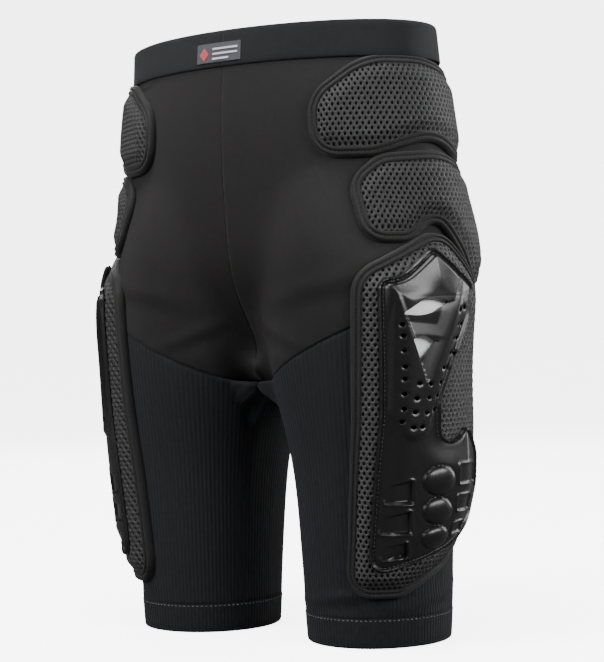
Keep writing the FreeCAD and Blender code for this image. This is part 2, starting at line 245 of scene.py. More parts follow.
def dress(piece, material, slot, *nodes):
    """Finish a piece: its material, the nodes it stands for and its body. The slot argument is not used."""
    piece.data.materials.clear()
    piece.data.materials.append(material)
    if nodes:
        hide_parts(*nodes)
    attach(piece, "root")
    return piece


class Finish:
    """A procedural material and the few node moves that its finish needs."""

    def __init__(self, name, colour, roughness, **sockets):
        self.material = bpy.data.materials.new(name)
        self.material.use_nodes = True
        self.nodes = self.material.node_tree.nodes
        self.links = self.material.node_tree.links
        self.shader = self.nodes["Principled BSDF"]
        self.shader.inputs["Base Color"].default_value = (*colour, 1)
        self.shader.inputs["Roughness"].default_value = roughness
        for socket, value in sockets.items():
            self.shader.inputs[socket.replace("_", " ")].default_value = value
        self.height = None

    def coordinates(self, output, scale):
        source = self.nodes.new("ShaderNodeTexCoord")
        mapping = self.nodes.new("ShaderNodeMapping")
        mapping.inputs["Scale"].default_value = scale if isinstance(scale, tuple) else (scale,) * 3
        self.links.new(source.outputs[output], mapping.inputs["Vector"])
        return mapping.outputs["Vector"]

    def pattern(self, kind, output, scale, **settings):
        """A texture node read at a scale, even or per axis; returns its grey output."""
        node = self.nodes.new("ShaderNodeTex" + kind)
        for name, value in settings.items():
            if hasattr(node, name):
                setattr(node, name, value)
            else:
                node.inputs[name.replace("_", " ")].default_value = value
        self.links.new(self.coordinates(output, scale), node.inputs["Vector"])
        return node.outputs["Distance"] if kind == "Voronoi" else node.outputs[
            "Fac" if "Fac" in node.outputs else 0]

    def bump(self, source, distance, strength=1.0):
        node = self.nodes.new("ShaderNodeBump")
        node.inputs["Distance"].default_value = distance
        node.inputs["Strength"].default_value = strength
        self.links.new(source, node.inputs["Height"])
        if self.height is not None:
            self.links.new(self.height, node.inputs["Normal"])
        self.height = node.outputs["Normal"]
        self.links.new(self.height, self.shader.inputs["Normal"])

    def tint(self, source, dark, light, low=0.0, high=1.0):
        """Colour that follows a grey pattern between two values."""
        ramp = self.nodes.new("ShaderNodeValToRGB")
        ramp.color_ramp.elements[0].position = low
        ramp.color_ramp.elements[1].position = high
        ramp.color_ramp.elements[0].color = (*dark, 1)
        ramp.color_ramp.elements[1].color = (*light, 1)
        self.links.new(source, ramp.inputs["Fac"])
        self.links.new(ramp.outputs["Color"], self.shader.inputs["Base Color"])

    def roughen(self, source, low, high):
        """Roughness that follows a grey pattern."""
        node = self.nodes.new("ShaderNodeMapRange")
        node.inputs["To Min"].default_value = low
        node.inputs["To Max"].default_value = high
        self.links.new(source, node.inputs["Value"])
        self.links.new(node.outputs["Result"], self.shader.inputs["Roughness"])


def jersey_finish():
    finish = Finish("stretch_jersey", (0.0045, 0.0039, 0.0038), 0.62,
                    Sheen_Weight=0.05, Sheen_Roughness=0.45, Specular_IOR_Level=0.16)
    finish.shader.inputs["Sheen Tint"].default_value = (0.75, 0.72, 0.72, 1)
    cloudy = finish.pattern("Noise", "Object", 60, Detail=4.0)
    finish.tint(cloudy, (0.0034, 0.0029, 0.0028), (0.0062, 0.0053, 0.0052), 0.3, 0.75)
    wale = finish.pattern("Wave", "UV", (900, 0, 0), wave_profile="SIN", Scale=1.0, Distortion=0.0)
    finish.bump(wale, 0.12 * MM, 0.6)
    course = finish.pattern("Noise", "UV", (1400, 700, 1), Detail=2.0)
    finish.bump(course, 0.1 * MM, 0.5)
    return finish.material


def rib_finish():
    finish = Finish("ribbed_knit", (0.0036, 0.0039, 0.0053), 0.7,
                    Sheen_Weight=0.05, Sheen_Roughness=0.5, Specular_IOR_Level=0.14)
    finish.shader.inputs["Sheen Tint"].default_value = (0.7, 0.73, 0.82, 1)
    cloudy = finish.pattern("Noise", "Object", 50, Detail=4.0)
    finish.tint(cloudy, (0.0026, 0.0029, 0.0040), (0.0054, 0.0058, 0.0078), 0.3, 0.75)
    course = finish.pattern("Wave", "UV", (0, 1100, 0), bands_direction="Y", Scale=1.0, Distortion=0.6)
    finish.bump(course, 0.1 * MM, 0.6)
    return finish.material


jersey = jersey_finish()
rib_knit = rib_finish()


def ridge(along, up, centre, half_length, half_width, height, tilt=0.0):
    """A single soft fold: height over a slanting line on the cloth."""
    a = along - centre[0]
    b = up - centre[1] - tilt * a
    shape = np.exp(-(b / half_width) ** 2) - 0.6 * np.exp(-((b + 1.7 * half_width) / half_width) ** 2)
    return height * np.exp(-(a / half_length) ** 2) * shape


def leg_folds(points, side):
    """Cross folds where the knit bunches under the pad and above the hem."""
    turn = np.degrees(np.arctan2(points[..., 0] - leg_axis[0], -(points[..., 1] - leg_axis[1])))
    up = points[..., 2]
    if side > 0:
        folds = (ridge(turn, up, (20, 0.044), 34, 0.0045, 1.8 * MM, 0.00008)
                 + ridge(turn, up, (44, 0.034), 22, 0.0035, 1.4 * MM, -0.0001)
                 + ridge(turn, up, (-28, 0.036), 26, 0.004, 0.9 * MM, 0.0001)
                 + ridge(turn, up, (85, 0.040), 30, 0.0045, 1.6 * MM, 0.0002))
    else:
        folds = (ridge(turn, up, (60, 0.052), 24, 0.0045, 1.9 * MM, -0.0003)
                 + ridge(turn, up, (30, 0.040), 22, 0.004, 0.8 * MM, 0.0001)
                 + ridge(turn, up, (95, 0.038), 30, 0.0045, 1.3 * MM, 0.0002))
    folds = folds + ridge(turn, up, (-88, 0.196), 16, 0.005, 0.8 * MM, 0.0001)
    return folds + ridge(turn, up, (170, 0.040), 40, 0.005, 1.0 * MM, 0.00005)


def upper_folds(points, side):
    """Slight pulls at the fork, beside the pads and under the waistband."""
    x, y, up = points[..., 0], points[..., 1], points[..., 2]
    turn = np.degrees(np.arctan2(x, -(y - trunk_axis[1])))
    folds = ridge(turn, up, (40, 0.300), 18, 0.008, 0.7 * MM, 0.0006)
    folds = folds + ridge(turn, up, (22, 0.262), 12, 0.006, 0.8 * MM, -0.001)
    if side < 0:
        folds = folds + ridge(turn, up, (62, 0.476), 11, 0.003, 1.1 * MM, 0.0005)
        folds = folds + ridge(turn, up, (50, 0.481), 10, 0.0024, 0.8 * MM, -0.0004)
    else:
        folds = folds + ridge(turn, up, (60, 0.325), 9, 0.005, 0.8 * MM, 0.0009)
    return folds


def seam_dip(columns_from_edge, width):
    """The panel's edge turns in a little where it is overlocked."""
    return -0.55 * MM * np.exp(-(columns_from_edge / width) ** 2)


RIB = 4.0 * MM
RIB_STEPS = 6
RIB_DEPTH = 0.42 * MM
UPPER_COLUMNS = 111
SEAM_WIDTH = 2.5 * MM
fabric_grids = {}
for side, word in ((1, "left"), (-1, "right")):
    for part, columns in (("front", slice(0, 121)), ("back", slice(120, LEG_COLUMNS))):
        points = leg_grid[:, columns]
        count = int(round(float(lengths(points)[30, -1]) / RIB))
        points = finer(points, count * RIB_STEPS + 1)
        points = points + outward(points) * leg_folds(points, side)[..., None]
        rib = np.abs(np.sin(np.pi * np.arange(count * RIB_STEPS + 1) / RIB_STEPS)) ** 0.7
        points = points + outward(points) * (RIB_DEPTH * (rib - 1))[None, :, None]
        edge = np.minimum(np.arange(len(points))[::-1], 40)[:, None] * 4 * MM
        points = points + outward(points) * seam_dip(edge, SEAM_WIDTH)[..., None]
        fabric_grids["leg", part, word] = points
    for part, columns in (("front", slice(0, 61)), ("back", slice(60, TRUNK_COLUMNS))):
        points = finer(trunk_grid[:, columns], UPPER_COLUMNS)
        points = points + outward(points) * upper_folds(points, side)[..., None]
        centre = np.arange(UPPER_COLUMNS) if part == "front" else np.arange(UPPER_COLUMNS)[::-1]
        points = points + outward(points) * seam_dip(centre * 2.3 * MM, SEAM_WIDTH)[None, :, None]
        fabric_grids["upper", part, word] = points
    for (zone, part, which), points in list(fabric_grids.items()):
        if which != word:
            continue
        if side < 0:
            points = points[:, ::-1] * FLIP
        piece = knit_sheet("%s_%s_panel_%s" % (zone, part, word), points)
        thicken(piece, CLOTH)
        dress(piece, jersey if zone == "upper" else rib_knit,
              "stretch_jersey" if zone == "upper" else "ribbed_knit",
              "%s_%s_%s" % (zone, part, word))

# ---------------------------------------------------------------- hems
# Each leg ends in its own ribbed knit folded inwards, held by a row of coverstitch in pale thread
# that shows outside as short dashes just above the fold.
HEM_TAPER = 0.06


def run_along(line):
    """Distance along a line of points from its first."""
    return np.concatenate([[0], np.cumsum(np.linalg.norm(np.diff(line, axis=0), axis=1))])


def unit(vectors):
    """The same directions, one long."""
    return vectors / np.linalg.norm(vectors, axis=1, keepdims=True)


def level_outward(ring, reach):
    """Level directions out of a ring of points, and its travel over a few points."""
    travel = np.roll(ring, -reach, axis=0) - np.roll(ring, reach, axis=0)
    return unit(np.stack([travel[:, 1], -travel[:, 0], np.zeros(len(ring))], 1)), travel


def smooth_piece(name, points, faces):
    """A smooth-shaded piece made from points and faces."""
    mesh = bpy.data.meshes.new(name)
    mesh.from_pydata(points.tolist(), [], faces)
    piece = bpy.data.objects.new(name, mesh)
    bpy.context.collection.objects.link(piece)
    mesh.polygons.foreach_set("use_smooth", np.ones(len(mesh.polygons), bool))
    return piece


def closed_band(name, rings):
    """A closed tube mesh through rings of points: first axis around the band, second its section."""
    rings = np.concatenate([rings, rings[:1]])
    rings = np.concatenate([rings, rings[:, :1]], axis=1)
    around, section = rings.shape[:2]
    piece = grid_piece(name, section - 1, around - 1)
    place = np.meshgrid(run_along(rings[:, 0]), run_along(rings[0]), indexing="ij")
    flat_map(piece, np.stack(place, 2).reshape(-1, 2))
    shape(piece, rings)
    bpy.ops.object.mode_set(mode="EDIT")
    bpy.ops.mesh.select_all(action="SELECT")
    bpy.ops.mesh.remove_doubles(threshold=0.001 * MM)
    bpy.ops.mesh.normals_make_consistent(inside=False)
    bpy.ops.object.mode_set(mode="OBJECT")
    bpy.ops.object.shade_smooth()
    return piece


def stitches(name, places, along, out, length, width, rise):
    """One mesh of short thread capsules lying along a seam."""
    bpy.ops.object.select_all(action="DESELECT")
    bpy.ops.mesh.primitive_uv_sphere_add(segments=6, ring_count=4, radius=1)
    seed = bpy.context.object
    capsule = np.array([v.co for v in seed.data.vertices])
    faces = [tuple(p.vertices) for p in seed.data.polygons]
    bpy.data.objects.remove(seed)
    along = unit(along)
    side = unit(np.cross(out, along))
    points = (places[:, None] + along[:, None] * capsule[None, :, :1] * (length / 2)
              + side[:, None] * capsule[None, :, 1:2] * (width / 2)
              + out[:, None] * capsule[None, :, 2:] * (rise / 2))
    faces = [tuple(i + k * len(capsule) for i in f) for k in range(len(places)) for f in faces]
    return smooth_piece(name, points.reshape(-1, 3), faces)


def spaced(line, step, closed=True):
    """Points at even steps along a line of points, with their directions."""
    if closed:
        line = np.concatenate([line, line[:1]])
    run = run_along(line)
    at = np.linspace(0, run[-1], max(2, int(run[-1] / step)), endpoint=False)
    here, ahead, behind = (np.stack([np.interp(a, run, line[:, k]) for k in range(line.shape[1])], 1)
                           for a in (at, np.minimum(at + 0.5 * MM, run[-1]), np.maximum(at - 0.5 * MM, 0)))
    return here, ahead - behind


def thread_finish(name, colour):
    finish = Finish(name, colour, 0.6, Sheen_Weight=0.3)
    twist = finish.pattern("Wave", "Object", 900, bands_direction="DIAGONAL", Scale=1.0)
    finish.bump(twist, 0.08 * MM, 0.6)
    shade = finish.pattern("Noise", "Object", 300)
    finish.tint(shade, tuple(0.8 * c for c in colour), tuple(min(1, 1.15 * c) for c in colour))
    return finish.material


pale_thread = thread_finish("stitch_thread", (0.12, 0.12, 0.12))
dark_thread = thread_finish("stitch_thread_dark", (0.03, 0.028, 0.027))
# The fold in section: down the outside, round the bottom, up the inside, then back between the layers.
HEM_SECTION = [(-0.2, 25.0), (0.3, 24.2), (0.35, 21.5), (0.3, 14), (0.3, 7), (0.25, 2.2), (-0.2, 0.6),
               (-1.2, 0.0), (-2.3, 0.3), (-3.0, 1.6), (-3.1, 7), (-3.1, 14), (-3.0, 21), (-2.9, 24.8),
               (-1.9, 24.8), (-1.85, 21), (-1.85, 14), (-1.85, 7), (-1.8, 2.4), (-1.4, 1.5), (-1.0, 2.4),
               (-0.95, 7), (-0.95, 14), (-0.95, 21), (-0.9, 25.0)]
for side, word in ((1, "left"), (-1, "right")):
    front = fabric_grids["leg", "front", word][0][:-1]
    back = fabric_grids["leg", "back", word][0][:-1]
    edge = np.concatenate([front, back])
    away, travel = level_outward(edge, 4)
    rings = np.stack([edge + away * ((offset * MM) - (HEM_LINE - up * MM) * HEM_TAPER)
                      for offset, up in HEM_SECTION], axis=1)
    rings[:, :, 2] = np.array([up * MM for offset, up in HEM_SECTION])[None]
    if side < 0:
        rings = rings[::-1] * FLIP
    hem = closed_band("hem_band_" + word, rings)
    dress(hem, rib_knit, "ribbed_knit", "hem_" + word)
    dash_line = rings[:, 1].copy()
    dash_line[:, 2] -= 0.8 * MM
    places, along = spaced(dash_line[::3], 4.0 * MM)
    out = places - places.mean(axis=0)
    out[:, 2] = 0
    out = unit(out)
    thread = stitches("hem_stitching_" + word, places + out * 0.2 * MM, along, out, 2.0 * MM, 0.5 * MM,
                      0.5 * MM)
    dress(thread, pale_thread, "stitch_thread")

# ---------------------------------------------------------------- waistband
# A doubled band of fine firm knit, folded over at the top and overlocked to the four jersey
# panels.  Its two ends meet in a butt seam at the centre front.
BAND_POINTS = 720
BAND_TURNS = np.radians(np.linspace(-180, 180, BAND_POINTS + 1)[:-1])
band_surface = cad_surface("waistband")
# The fold in section: up the outside, over the top, down the inside, then back between the layers.
BAND_SECTION = [(-0.3, 486.8), (0.5, 487.4), (0.9, 488.6), (0.9, 494), (0.9, 500), (0.9, 506), (0.9, 512),
                (0.85, 515.5), (0.3, 517.3), (-0.6, 518.0), (-1.6, 517.6), (-2.3, 516.0), (-2.4, 512),
                (-2.4, 506), (-2.4, 500), (-2.4, 494), (-2.4, 488), (-1.2, 487.8), (-1.15, 494), (-1.15, 500),
                (-1.15, 506), (-1.15, 512), (-1.0, 515.8), (-0.7, 516.5), (-0.4, 515.8), (-0.35, 512),
                (-0.35, 506), (-0.35, 500), (-0.35, 494), (-0.4, 488)]


def band_edge(height):
    """The band's outside at one height, all the way round."""
    level = np.full(BAND_POINTS, height)
    ring = polar_sheet(band_surface, trunk_axis, BAND_TURNS, level, level, 1)
    ring = np.concatenate([ring, ring, ring], axis=1)
    return soften(ring, 0, 5)[0, BAND_POINTS:2 * BAND_POINTS]


band_low = band_edge(WAIST_LINE + 2.5 * MM)
band_high = band_edge(WAIST_TOP - 4 * MM)
lean = (band_high - band_low) / (WAIST_TOP - WAIST_LINE - 6.5 * MM)
away = level_outward(band_low, 2)[0]
turn_round = np.degrees(BAND_TURNS)
seam = np.exp(-(turn_round / 0.5) ** 2)
wave = 0.5 * np.sin(np.radians(turn_round * 9)) * np.exp(-((turn_round + 62) / 26) ** 2)
rings = []
for offset, up in BAND_SECTION:
    level = band_low + lean * (up * MM - WAIST_LINE - 2.5 * MM)
    level[:, 2] = up * MM
    ruffle = wave * max(0, (up - 490) / 28) * 1.1
    rings.append(level + away * (((offset if offset < 0 else offset - 0.55 * seam) + ruffle) * MM)[:, None])
rings = np.stack(rings, axis=1)
band_finish = Finish("band_knit", (0.0034, 0.0037, 0.0052), 0.7, Sheen_Weight=0.05, Sheen_Roughness=0.5,
                     Specular_IOR_Level=0.14)
wale = band_finish.pattern("Wave", "UV", (1250, 0, 0), wave_profile="SIN", Scale=1.0)
band_finish.bump(wale, 0.2 * MM, 0.8)
band_finish.bump(band_finish.pattern("Noise", "UV", (900, 1500, 1)), 0.12 * MM, 0.5)
band_finish.tint(band_finish.pattern("Noise", "Object", 45, Detail=4.0),
                 (0.0026, 0.0029, 0.0041), (0.0052, 0.0055, 0.0076), 0.3, 0.75)
band = closed_band("waistband_knit", rings)
dress(band, band_finish.material, "band_knit", "waistband")

# ---------------------------------------------------------------- pads: foam, spacer mesh and tape
# Each pad is a cut block of foam with a crowned face, under a black warp-knit spacer mesh with
# oval holes.  A folded tape is stitched round its edge and sews the pad to the cloth.
FLAT_STEP = 2 * MM
TURN_STEPS = 170


def unroll_weights(at, count):
    """Four neighbours and their weights for a smooth curve through even samples."""
    at = np.clip(at, 1.0, count - 2.001)
    base = np.floor(at).astype(int)
    f = at - base
    weights = np.stack([-0.5 * f + f * f - 0.5 * f ** 3, 1 - 2.5 * f * f + 1.5 * f ** 3,
                        0.5 * f + 2 * f * f - 1.5 * f ** 3, -0.5 * f * f + 0.5 * f ** 3], 1)
    return np.stack([base - 1, base, base + 1, base + 2], 1), weights


class Ground:
    """The cloth under a pad, unrolled flat: x runs along the cloth, y is the height above the floor."""

    def __init__(self, surface, axis, heading, spread, low, high, blur=3):
        turns = np.radians(np.linspace(heading - spread, heading + spread, TURN_STEPS))
        rows = int(round((high - low) / FLAT_STEP)) + 1
        grid = polar_sheet(surface, axis, turns, np.full(TURN_STEPS, low), np.full(TURN_STEPS, high), rows)
        grid = soften(patch_gaps(grid), blur, 1.5)
        middle = grid[rows // 2]
        run = run_along(middle)
        columns = int(run[-1] / FLAT_STEP)
        even = np.arange(columns) * FLAT_STEP
        self.points = np.stack([np.stack([np.interp(even, run, row[:, k]) for k in range(3)], 1)
                                for row in grid])
        self.points = soften(self.points, 0, blur)
        self.normals = outward(self.points)
        self.low = low
        tangent = np.array([math.cos(math.radians(heading)), math.sin(math.radians(heading)), 0])
        self.across = (self.points - np.array(MIDDLE)) @ tangent
        self.lean = self.normals @ tangent

    def flat(self, places, height):
        """Flat places of points given across the pad's own facing and up, cut at a height."""
        out = []
        for across, up in places:
            row = int(np.clip(round((up * MM - self.low) / FLAT_STEP), 0, len(self.across) - 1))
            line = self.across[row] + self.lean[row] * height
            first = int(np.argmin(line))
            last = int(np.argmax(line))
            x = np.interp(across * MM, line[first:last + 1], np.arange(first, last + 1) * FLAT_STEP)
            out.append((x, up * MM))
        return np.array(out)

    def lift(self, places, height):
        """Points of the unrolled cloth at a height above it."""
        columns, wide = unroll_weights(places[:, 0] / FLAT_STEP, self.points.shape[1])
        rows, tall = unroll_weights((places[:, 1] - self.low) / FLAT_STEP, self.points.shape[0])
        weight = (tall[:, :, None] * wide[:, None, :])[..., None]
        base = (self.points[rows[:, :, None], columns[:, None, :]] * weight).sum((1, 2))
        out = (self.normals[rows[:, :, None], columns[:, None, :]] * weight).sum((1, 2))
        out = unit(out)
        return base + out * np.reshape(height, (-1, 1)), out


def rounded(corners, radii, step):
    """A closed outline with its corners rounded, as points at even steps."""
    count = len(corners)
    line = []
    for i in range(count):
        here = corners[i]
        back = corners[i - 1] - here
        ahead = corners[(i + 1) % count] - here
        long_back = np.linalg.norm(back)
        long_ahead = np.linalg.norm(ahead)
        back = back / long_back
        ahead = ahead / long_ahead
        half = math.acos(max(-1, min(1, float(back @ ahead)))) / 2
        reach = min(radii[i] * MM / math.tan(half), 0.48 * long_back, 0.48 * long_ahead)
        start = here + back * reach
        end = here + ahead * reach
        for t in np.linspace(0, 1, 13):
            line.append((1 - t) ** 2 * start + 2 * t * (1 - t) * (0.12 * (start + end) / 2 + 0.88 * here)
                        + t ** 2 * end)
    return spaced(np.array(line), step)[0]


def inside(points, outline):
    """Which points lie inside a closed outline."""
    hit = np.zeros(len(points), bool)
    x, y = points[:, 0], points[:, 1]
    for (ax, ay), (bx, by) in zip(outline, np.roll(outline, -1, axis=0)):
        cross = (ay > y) != (by > y)
        if ay != by:
            hit ^= cross & (x < (bx - ax) * (y - ay) / (by - ay) + ax)
    return hit


def nearest_on(points, outline):
    """Distance of each point from a closed outline, and the outline's nearest point."""
    best = np.full(len(points), np.inf)
    place = np.zeros_like(points)
    for a, b in zip(outline, np.roll(outline, -1, axis=0)):
        side = b - a
        t = np.clip(((points - a) @ side) / max(side @ side, 1e-18), 0, 1)
        near = a + t[:, None] * side
        gap = ((points - near) ** 2).sum(1)
        closer = gap < best
        best[closer] = gap[closer]
        place[closer] = near[closer]
    return np.sqrt(best), place


def depth(points, outline):
    """Distance inwards from an outline, negative outside it."""
    away = nearest_on(points, outline)[0]
    return np.where(inside(points, outline), away, -away)


def smooth(x):
    """Eases from 0 to 1."""
    x = np.clip(x, 0, 1)
    return x * x * (3 - 2 * x)


def inward_of(outline):
    """Unit directions into a closed outline."""
    travel = np.roll(outline, -2, axis=0) - np.roll(outline, 2, axis=0)
    inward = unit(np.stack([-travel[:, 1], travel[:, 0]], 1))
    if depth(outline + inward * 2 * MM, outline).mean() < 0:
        inward = -inward
    return inward


def cut_flat(name, outline, step, holes=()):
    """A flat grid cut to an outline, with holes cut through it and its edges drawn onto both."""
    low = outline.min(axis=0) - step
    size = outline.max(axis=0) + step - low
    columns, rows = (int(math.ceil(s / step)) for s in size)
    piece = grid_piece(name, columns, rows)
    mesh = piece.data
    flat = (places_of(piece)[:, :2] + 0.5) * size + low
    faces = np.zeros(len(mesh.polygons) * 4, int)
    mesh.polygons.foreach_get("vertices", faces)
    centres = flat[faces.reshape(-1, 4)].mean(axis=1)
    keep = inside(centres, outline)
    for hole in holes:
        keep &= ~inside(centres, hole)
    shape(piece, np.pad(flat, ((0, 0), (0, 1))))
    bpy.ops.object.mode_set(mode="EDIT")
    bpy.context.tool_settings.mesh_select_mode = (False, False, True)
    bpy.ops.mesh.select_all(action="DESELECT")
    bpy.ops.object.mode_set(mode="OBJECT")
    mesh.polygons.foreach_set("select", ~keep)
    bpy.ops.object.mode_set(mode="EDIT")
    bpy.ops.mesh.delete(type="FACE")
    bpy.ops.object.mode_set(mode="OBJECT")
    flat = flat_of(piece)
    edge = open_edge(mesh)
    border = flat[edge]
    best, place = nearest_on(border, outline)
    for hole in holes:
        away, near = nearest_on(border, hole)
        closer = away < best
        best[closer] = away[closer]
        place[closer] = near[closer]
    flat[edge] = place
    shape(piece, np.pad(flat, ((0, 0), (0, 1))))
    return piece


def flat_of(piece):
    """The flat places of a piece's vertices."""
    return places_of(piece)[:, :2].copy()


def open_edge(mesh):
    """The vertices on a mesh's open border."""
    used = {}
    for polygon in mesh.polygons:
        for key in polygon.edge_keys:
            used[key] = used.get(key, 0) + 1
    return np.array(sorted({v for key, n in used.items() if n == 1 for v in key}), int)


def block(name, ground, outline, step, top, bottom):
    """A closed body on the unrolled cloth between two heights; top may follow the flat places."""
    piece = cut_flat(name, outline, step)
    bpy.ops.object.mode_set(mode="EDIT")
    bpy.ops.mesh.select_all(action="SELECT")
    bpy.ops.mesh.extrude_region_move(TRANSFORM_OT_translate={"value": (0, 0, 1)})
    bpy.ops.object.mode_set(mode="OBJECT")
    raw = places_of(piece)
    flat = raw[:, :2].copy()
    upper = raw[:, 2] > 0.5
    height = np.full(len(flat), bottom)
    height[upper] = top(flat[upper]) if callable(top) else top
    flat_map(piece, flat)
    shape(piece, ground.lift(flat, height)[0])
    bpy.ops.object.mode_set(mode="EDIT")
    bpy.ops.mesh.select_all(action="SELECT")
    bpy.ops.mesh.normals_make_consistent(inside=False)
    bpy.ops.object.mode_set(mode="OBJECT")
    bpy.ops.object.shade_smooth_by_angle(angle=math.radians(50))
    return piece


def other_side(piece, name):
    """The same piece for the other side of the body."""
    copy = piece.copy()
    copy.data = piece.data.copy()
    copy.name = name
    copy.data.name = name
    for note in list(copy.keys()):
        del copy[note]
    bpy.context.collection.objects.link(copy)
    shape(copy, places_of(copy) * FLIP)
    copy.data.flip_normals()
    copy.data.update()
    return copy


MESH_PITCH = 4.6 * MM


def spacer_mesh(name, ground, outline, height, keep):
    """Honeycomb warp-knit cloth: round strands with an oval pit in every cell."""
    low = outline.min(axis=0)
    high = outline.max(axis=0)
    row_step = MESH_PITCH * math.sqrt(3) / 2
    centres = np.array([(x + (0.5 * MESH_PITCH if r % 2 else 0), low[1] + r * row_step)
                        for r in range(int((high[1] - low[1]) / row_step) + 1)
                        for x in np.arange(low[0], high[0], MESH_PITCH)])
    centres = centres[keep(centres)]
    turns = np.radians(30 + 60 * np.arange(6))
    ring = np.stack([np.cos(turns), np.sin(turns)], 1)
    outer = centres[:, None] + ring * (MESH_PITCH / math.sqrt(3))
    rim = centres[:, None] + ring * np.array([0.27, 0.36]) * MESH_PITCH * 1.12
    pit = centres[:, None] + ring * np.array([0.22, 0.30]) * MESH_PITCH
    first, shared = np.unique(np.round(outer.reshape(-1, 2) / (0.05 * MM)).astype(int), axis=0,
                              return_index=True, return_inverse=True)[1:]
    shared = shared.reshape(-1, 6)
    corners = outer.reshape(-1, 2)[first]
    flat = np.concatenate([corners, rim.reshape(-1, 2), pit.reshape(-1, 2)])
    drop = np.concatenate([np.zeros(len(corners)), np.full(rim.size // 2, 0.28 * MM),
                           np.full(pit.size // 2, 1.75 * MM)])
    points = ground.lift(flat, height(flat) - drop)[0]
    rims = len(corners) + np.arange(len(centres) * 6).reshape(-1, 6)
    pits = rims + len(centres) * 6
    after = np.roll(np.arange(6), -1)
    faces = np.concatenate([np.stack([shared, shared[:, after], rims[:, after], rims], 2).reshape(-1, 4),
                            np.stack([rims, rims[:, after], pits[:, after], pits], 2).reshape(-1, 4)])
    piece = smooth_piece(name, points, faces.tolist() + pits.tolist())
    flat_map(piece, flat)
    return piece


TAPE_SECTION = [(-0.4, -1.6), (-1.0, 0.6), (-0.8, 2.6), (0.0, 4.4), (1.0, 5.5), (2.0, 5.9), (2.9, 5.5),
                (3.5, 4.8), (4.1, 5.5), (5.0, 6.4), (6.0, 6.8), (6.9, 6.4), (7.5, 5.2), (7.4, 2.0),
                (4.0, -1.6)]


def tape(name, ground, outline, scale):
    """The bound edge: a folded tape with a stitched groove between two rolls."""
    inward = inward_of(outline)
    rings = []
    for d, h in TAPE_SECTION:
        flat = outline + inward * d * MM
        rings.append(ground.lift(flat, np.full(len(flat), (h * scale if h > 0 else h) * MM))[0])
    return closed_band(name, np.stack(rings, axis=1)), outline + inward * 3.5 * MM


def tape_finish():
    finish = Finish("binding_tape", (0.0042, 0.0039, 0.0038), 0.6, Sheen_Weight=0.08, Sheen_Roughness=0.4,
                    Specular_IOR_Level=0.2)
    finish.bump(finish.pattern("Wave", "UV", (620, 620, 0), bands_direction="DIAGONAL", Scale=1.0),
                0.16 * MM, 0.8)
    finish.bump(finish.pattern("Noise", "UV", (1500, 1500, 1)), 0.08 * MM, 0.5)
    finish.tint(finish.pattern("Noise", "Object", 120, Detail=4.0),
                (0.0028, 0.0026, 0.0025), (0.006, 0.0056, 0.0054), 0.3, 0.7)
    return finish.material


def mesh_finish():
    finish = Finish("spacer_mesh", (0.0075, 0.0075, 0.008), 0.45, Sheen_Weight=0.05, Sheen_Roughness=0.35,
                    Specular_IOR_Level=0.42)
    finish.bump(finish.pattern("Wave", "UV", (1800, 1100, 0), bands_direction="DIAGONAL", Scale=1.0,
                               Distortion=1.5), 0.12 * MM, 0.8)
    finish.tint(finish.pattern("Noise", "Object", 90, Detail=3.0),
                (0.005, 0.005, 0.0054), (0.011, 0.011, 0.0115), 0.3, 0.7)
    finish.roughen(finish.pattern("Noise", "Object", 400), 0.42, 0.62)
    return finish.material


def foam_finish():
    finish = Finish("pad_foam", (0.004, 0.004, 0.004), 0.95, Specular_IOR_Level=0.1)
    finish.bump(finish.pattern("Voronoi", "Object", 1400), 0.15 * MM, 0.6)
    finish.tint(finish.pattern("Noise", "Object", 200), (0.003, 0.003, 0.003),
                (0.006, 0.006, 0.006))
    return finish.material


tape_cloth = tape_finish()
mesh_cloth = mesh_finish()
foam = foam_finish()

trunk = np.concatenate([trunk_grid[:, ::-1][:, :-1] * FLIP, trunk_grid], axis=1)
cloth_points = []
cloth_faces = []
for grid in (trunk, leg_grid, leg_grid * FLIP):
    rows, columns = grid.shape[:2]
    corner = len(cloth_points) + np.arange(rows * columns).reshape(rows, columns)
    cloth_points += [tuple(p) for p in grid.reshape(-1, 3)]
    cloth_faces += np.stack([corner[:-1, :-1], corner[:-1, 1:], corner[1:, 1:], corner[1:, :-1]],
                            2).reshape(-1, 4).tolist()
cloth = BVHTree.FromPolygons(cloth_points, cloth_faces)

PADS = {
    "hip_upper": (75, trunk_axis, 86, (0.388, 0.4885), 10,
                  [(-55, 404, 25), (-20, 404, 40), (28, 419, 40), (62, 407, 30), (88, 398, 18),
                   (88, 472, 22), (25, 487, 80), (-22, 487, 60), (-55, 455, 30)]),
    "hip_lower": (82, trunk_axis, 86, (0.288, 0.424), 10,
                  [(-53, 333, 22), (-20, 333, 18), (6, 353, 14), (38, 322, 30), (54, 300, 14),
                   (86, 300, 18), (86, 390, 26), (14, 409, 70), (-34, 405, 26), (-53, 384, 26)]),
    "thigh": (80, leg_axis, 86, (0.026, 0.360), 14,
              [(-48, 43, 24), (-18, 43, 20), (24, 64, 30), (62, 96, 40), (70, 180, 90), (70, 302, 24),
               (12, 345, 26), (-58, 308, 26), (-54, 190, 300)]),
    "tailbone": (180, trunk_axis, 50, (0.356, 0.486), 10,
                 [(-14, 372, 12), (14, 372, 12), (34, 430, 40), (34, 470, 18), (-34, 470, 18),
                  (-34, 430, 40)]),
    "seat": (180, trunk_axis, 86, (0.280, 0.400), 10,
             [(-92, 296, 24), (-24, 296, 22), (-24, 352, 30), (-48, 384, 24), (-92, 376, 24)]),
}
